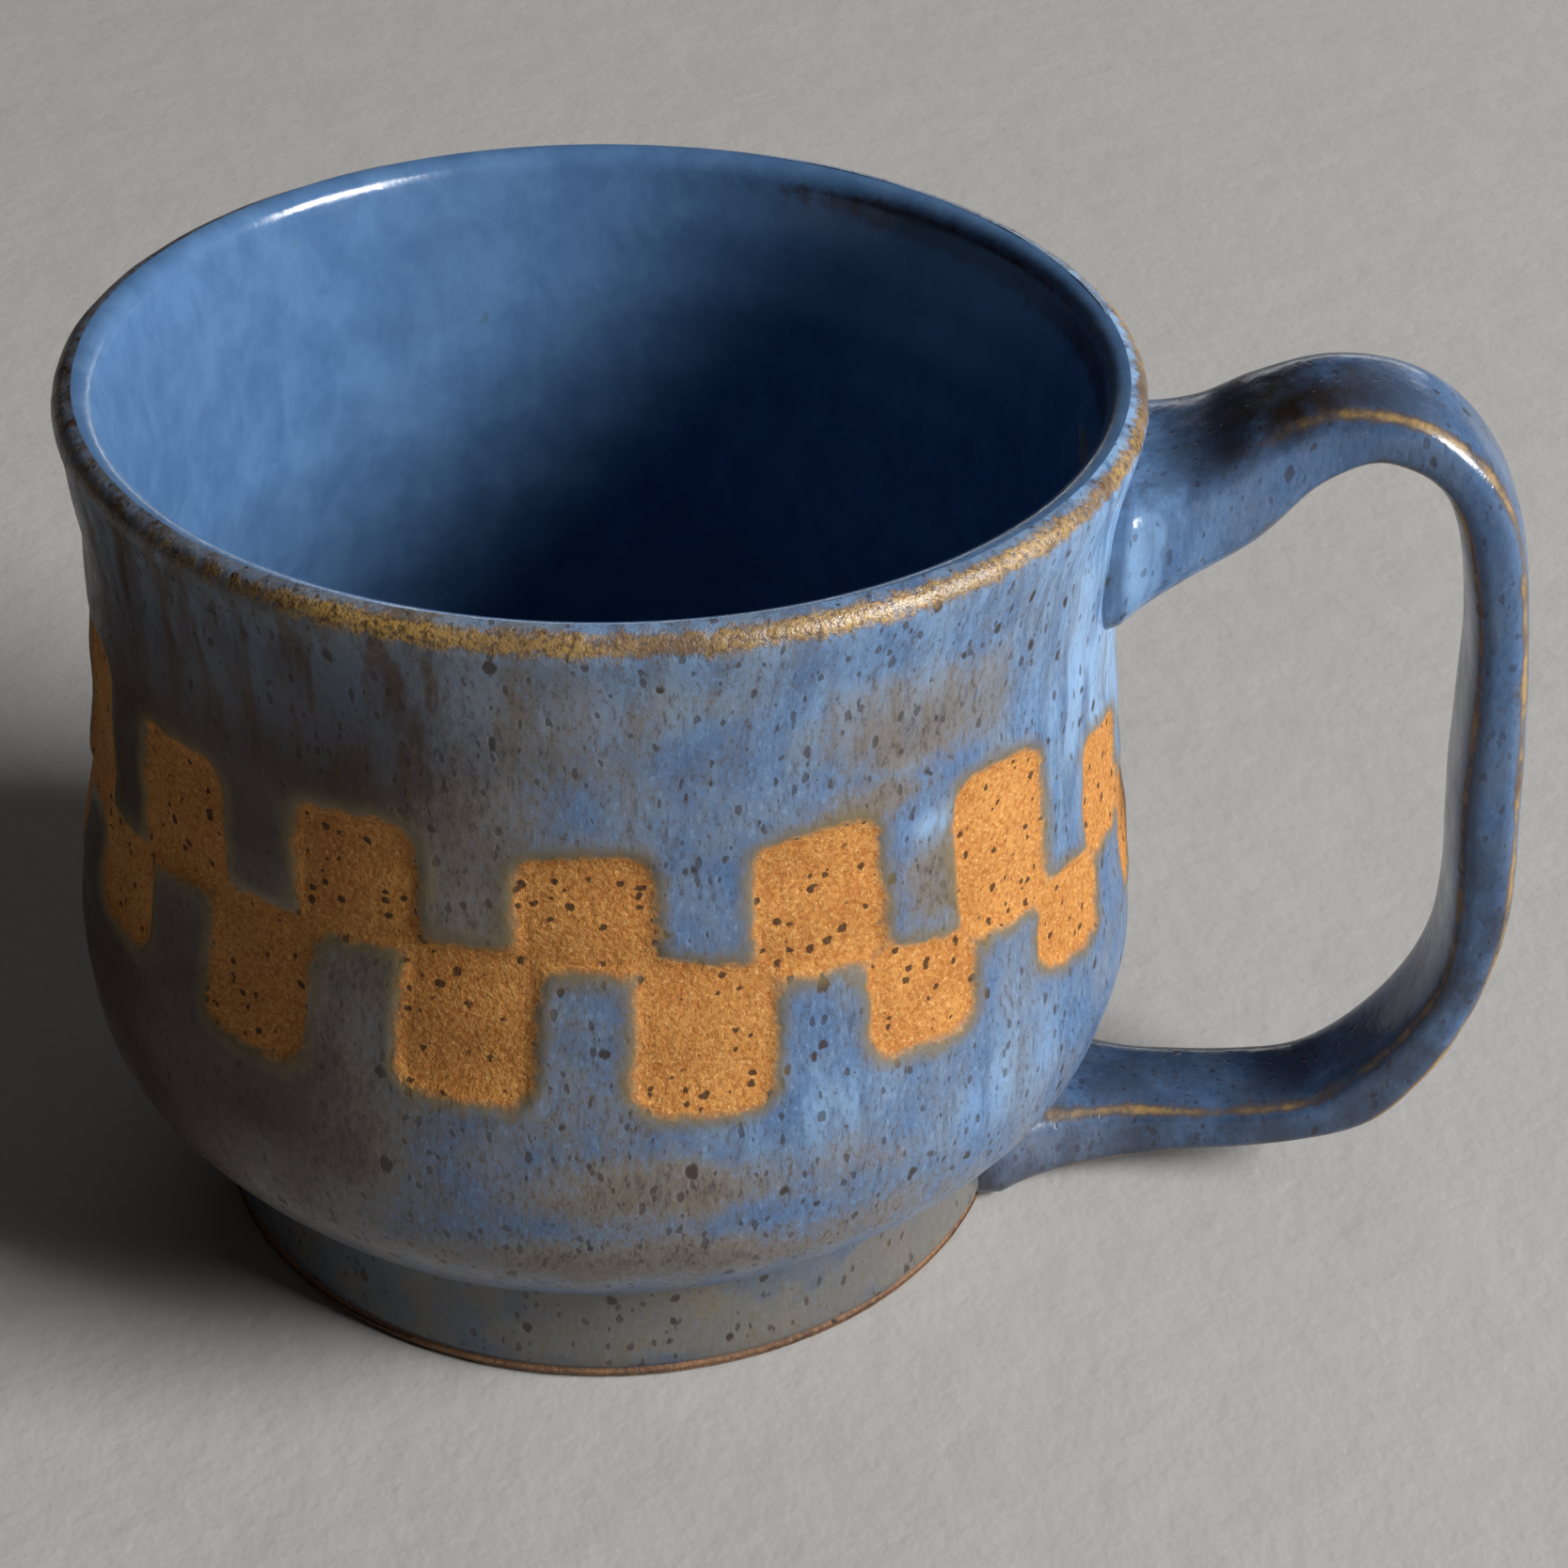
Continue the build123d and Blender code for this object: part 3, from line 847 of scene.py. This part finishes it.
def build_clay():
    """The clay itself, bare at the foot ring and in the trimmed recess under the cup."""
    outline = clay_outline()
    points, out, turn, _ = turn_outline(outline, CLAY_COLUMNS)
    radius, height = np.hypot(points[:, 0], points[:, 1]), points[:, 2]
    in_recess = smoothstep(RECESS_DEPTH - 0.4, RECESS_DEPTH - 0.1, height)
    trimming = TRIMMING_DEPTH * np.sin(2 * pi * radius / TRIMMING_PITCH + turn) * in_recess
    grit = CLAY_GRIT_DEPTH * soft_noise(points, CLAY_GRIT_SIZE, 7.0)
    shift = smoothstep(10, 6, height) * (trimming + grit)
    # The face the mug stands on stays flat
    resting = height < 0.05
    points = points + out * np.where(resting, 0, shift)[:, None]
    points[:, 2] = np.maximum(points[:, 2], 0)
    return make_mesh("clay_cup", points, grid_faces(len(outline), CLAY_COLUMNS), {}, clay_material())


# ---- The handle -------------------------------------------------------------------------------


def smooth_path(knots, samples):
    """A smooth curve through the knots, evenly spaced between them."""
    knots = np.array(knots, float)
    ends = np.concatenate([[2 * knots[0] - knots[1]], knots, [2 * knots[-1] - knots[-2]]])
    t = np.linspace(0, 1, 20, endpoint=False)[:, None]
    pieces = []
    for before, start, end, after in zip(ends, ends[1:], ends[2:], ends[3:]):
        slope = end - before
        curve = 2 * before - 5 * start + 4 * end - after
        twist = 3 * start - before - 3 * end + after
        pieces.append(0.5 * (2 * start + slope * t + curve * t**2 + twist * t**3))
    path = np.concatenate(pieces + [knots[-1:]])
    t = np.linspace(0, 1, len(path))
    at = np.linspace(0, 1, samples)
    return np.stack([np.interp(at, t, path[:, axis]) for axis in range(path.shape[1])], 1)


def strap_sizes(middle, thickness):
    """Half width and half depth of the strap at each section, and its distance from the wall."""
    wall = np.concatenate([under_line(GLAZE)[::-1], wall_line(GLAZE)[1:]])
    away = middle[:, 0] - np.interp(middle[:, 1], wall[:, 1], wall[:, 0])
    flare = smoothstep(FLARE_REACH, 0, away)
    web = np.exp(-np.maximum(away, 0) / WEB_REACH)
    lower = smoothstep(35, 12, middle[:, 1])
    width = STRAP_WIDTH + (ROOT_WIDTH - STRAP_WIDTH) * flare
    half_width = width / 2 + GLAZE - LOWER_NARROWING * lower + WEB_WIDTH * web
    half_depth = thickness / 2 + GLAZE + LOWER_THICKENING * lower + WEB_DEPTH * web
    return half_width, half_depth, away


def strap_section():
    """The strap's section as angles, and how far sideways and outward each point lies, -1 to 1."""
    turns = np.linspace(0, 2 * pi, STRAP_COLUMNS, endpoint=False)
    # A superellipse: the strap is flat on its faces with rounded edges
    power = 2 / STRAP_SQUARENESS
    side = np.sign(np.cos(turns)) * np.abs(np.cos(turns)) ** power
    rise = np.sign(np.sin(turns)) * np.abs(np.sin(turns)) ** power
    return turns, side, rise


def strap_marks(height, distance, turns, rise):
    """What the glaze shows at each point of the strap: broken edges, bare patches, runs, thin."""
    upper = smoothstep(30, 50, height)
    corner = bell(np.abs(np.sin(turns)), STRAP_EDGE, STRAP_EDGE_REACH)
    corner = np.tile(corner * np.where(rise > 0, 1.0, 0.85), STRAP_ROWS)
    edge_start = np.clip((distance - 1 - 6 * upper) / (5 + 3 * upper), 0, 1)

    # The glaze is thinnest and darkest on the hump just beyond the upper root
    hump = bell(distance, 12, 6) * upper
    outward = np.tile(smoothstep(0.2, 0.9, rise), STRAP_ROWS)
    inward = np.tile(smoothstep(-0.3, -0.9, rise), STRAP_ROWS)
    bare = 0.55 - 0.49 * upper + outward * (0.2 + 0.74 * hump) + inward * (0.35 * upper - 0.15)
    return {
        "edge": corner * edge_start,
        "bare": bare,
        "runs": smoothstep(9, 1, distance) * (0.1 + 0.75 * upper) + 0.08,
        "thin": 0.9 * (1 - upper) * bell(np.maximum(distance, 0), 0, 11) - 0.2,
    }


def build_handle():
    """The strap with its glaze: a rounded section carried along its side outline."""
    outside = smooth_path(STRAP_OUTSIDE, STRAP_ROWS)
    inside = smooth_path(STRAP_INSIDE, STRAP_ROWS)
    middle = (outside + inside) / 2
    across = outside - inside
    thickness = np.linalg.norm(across, axis=1)
    across = across / thickness[:, None]
    half_width, half_depth, away = strap_sizes(middle, thickness)
    turns, side, rise = strap_section()

    points = np.zeros((STRAP_ROWS, STRAP_COLUMNS, 3))
    points[:, :, 0] = middle[:, 0, None] + across[:, 0, None] * half_depth[:, None] * rise
    points[:, :, 1] = half_width[:, None] * side
    points[:, :, 2] = middle[:, 1, None] + across[:, 1, None] * half_depth[:, None] * rise
    points = points.reshape(-1, 3)
    distance = np.repeat(away, STRAP_COLUMNS)
    attributes = strap_marks(points[:, 2], distance, turns, rise)

    centre = np.stack([middle[:, 0], np.zeros(STRAP_ROWS), middle[:, 1]], 1)
    out = points - np.repeat(centre, STRAP_COLUMNS, 0)
    out = out / np.linalg.norm(out, axis=1)[:, None]
    shift = STRAP_WOBBLE_DEPTH * soft_noise(points, STRAP_WOBBLE_SIZE, 9.0)
    shift += STRAP_DIMPLE_DEPTH * soft_noise(points, STRAP_DIMPLE_SIZE, 10.0)
    points = points + out * (shift * smoothstep(0, 8, distance))[:, None]
    points[:, 2] = np.maximum(points[:, 2], STRAP_LOWEST)
    faces = grid_faces(STRAP_ROWS, STRAP_COLUMNS)
    return make_mesh("handle_strap", points, faces, attributes, handle_material())


# ---- The room and the camera ------------------------------------------------------------------


def build_floor():
    """A plain pale floor."""
    reach = FLOOR_REACH_METRES
    mesh = bpy.data.meshes.new("floor")
    corners = [(-reach, -reach, 0), (reach, -reach, 0), (reach, reach, 0), (-reach, reach, 0)]
    mesh.from_pydata(corners, [], [(0, 1, 2, 3)])
    mesh.materials.append(floor_material())
    floor = bpy.data.objects.new("floor", mesh)
    bpy.context.scene.collection.objects.link(floor)


def make_room():
    """A dim warm room; the camera sees a pale backdrop where the floor ends, which sheds no light."""
    world = bpy.data.worlds.new("room")
    world.use_nodes = True
    nodes, links = world.node_tree.nodes, world.node_tree.links
    room = nodes["Background"]
    room.inputs["Color"].default_value = ROOM_COLOUR
    room.inputs["Strength"].default_value = ROOM_STRENGTH
    backdrop = nodes.new("ShaderNodeBackground")
    backdrop.inputs["Color"].default_value = BACKDROP_GREY
    rays = nodes.new("ShaderNodeLightPath")
    chooser = nodes.new("ShaderNodeMixShader")
    links.new(rays.outputs["Is Camera Ray"], chooser.inputs[0])
    links.new(room.outputs[0], chooser.inputs[1])
    links.new(backdrop.outputs[0], chooser.inputs[2])
    links.new(chooser.outputs[0], nodes["World Output"].inputs["Surface"])
    bpy.context.scene.world = world
    bpy.context.scene.view_settings.view_transform = "Standard"


def add_window(name, azimuth, elevation, distance, size, power, colour, reflected=True):
    """A rectangular soft light aimed at the mug, seen in its gloss when reflected is set.

    The angles are degrees, the distance and size metres and the power watts.
    """
    light = bpy.data.lights.new(name, "AREA")
    light.shape = "RECTANGLE"
    light.size, light.size_y = size
    light.energy = power
    light.color = colour
    lamp = bpy.data.objects.new(name, light)
    around, up = radians(azimuth), radians(elevation)
    away = Vector((cos(around) * cos(up), sin(around) * cos(up), sin(up)))
    mug_middle = Vector((0, 0, 0.04))
    lamp.location = mug_middle + away * distance
    lamp.rotation_euler = away.to_track_quat("Z", "Y").to_euler()
    lamp.visible_glossy = reflected
    bpy.context.scene.collection.objects.link(lamp)


def light_the_scene():
    """A window to the right and a little in front, and a low strip and a weak fill behind."""
    add_window(
        "window", azimuth=-16, elevation=28, distance=2.2, size=(1.05, 0.78), power=91,
        colour=(1.0, 0.98, 0.96),
    )
    add_window(
        "strip", azimuth=84, elevation=9, distance=1.5, size=(1.0, 0.1), power=1.1,
        colour=(1.0, 1.0, 1.0),
    )
    add_window(
        "fill", azimuth=90, elevation=42, distance=2.2, size=(1.8, 1.2), power=2.6,
        colour=(1.0, 0.99, 0.98), reflected=False,
    )


def add_camera():
    """The camera at the viewing angle of the reference."""
    turn, elevation, roll = radians(3.0), radians(33.85), radians(1.3)
    distance, focal_pixels, frame_pixels = 0.3058, 3600, 1667
    target = Matrix.Rotation(turn, 3, "Z") @ Vector((0.0158, 0, 0.0387))
    back = Vector((sin(turn) * cos(elevation), -cos(turn) * cos(elevation), sin(elevation)))
    right = Vector((cos(turn), sin(turn), 0))
    up = back.cross(right)
    across = right * cos(roll) + up * sin(roll)
    upright = up * cos(roll) - right * sin(roll)
    data = bpy.data.cameras.new("camera")
    data.sensor_width = 36
    data.lens = focal_pixels * data.sensor_width / frame_pixels
    data.clip_start = 0.01
    camera = bpy.data.objects.new("camera", data)
    facing = Matrix((across, upright, back)).transposed().to_4x4()
    camera.matrix_world = Matrix.Translation(target + back * distance) @ facing
    bpy.context.scene.collection.objects.link(camera)
    bpy.context.scene.camera = camera


# ---- The mug and its room -----------------------------------------------------------------------


def show(piece, slot, *nodes):
    """Puts a piece on the mug's one body, in place of the CAD nodes it shows."""
    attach(piece, "root")
    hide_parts(*nodes)


show(build_outer_coat(), "outer_glaze", "outer_glaze", "slip_band")
show(build_inner_coat(), "inner_glaze", "inner_glaze")
show(build_clay(), "stoneware", "cup_body")
show(build_handle(), "handle_glaze", "handle", "handle_glaze", "upper_join", "lower_join")

build_floor()
make_room()
light_the_scene()
add_camera()
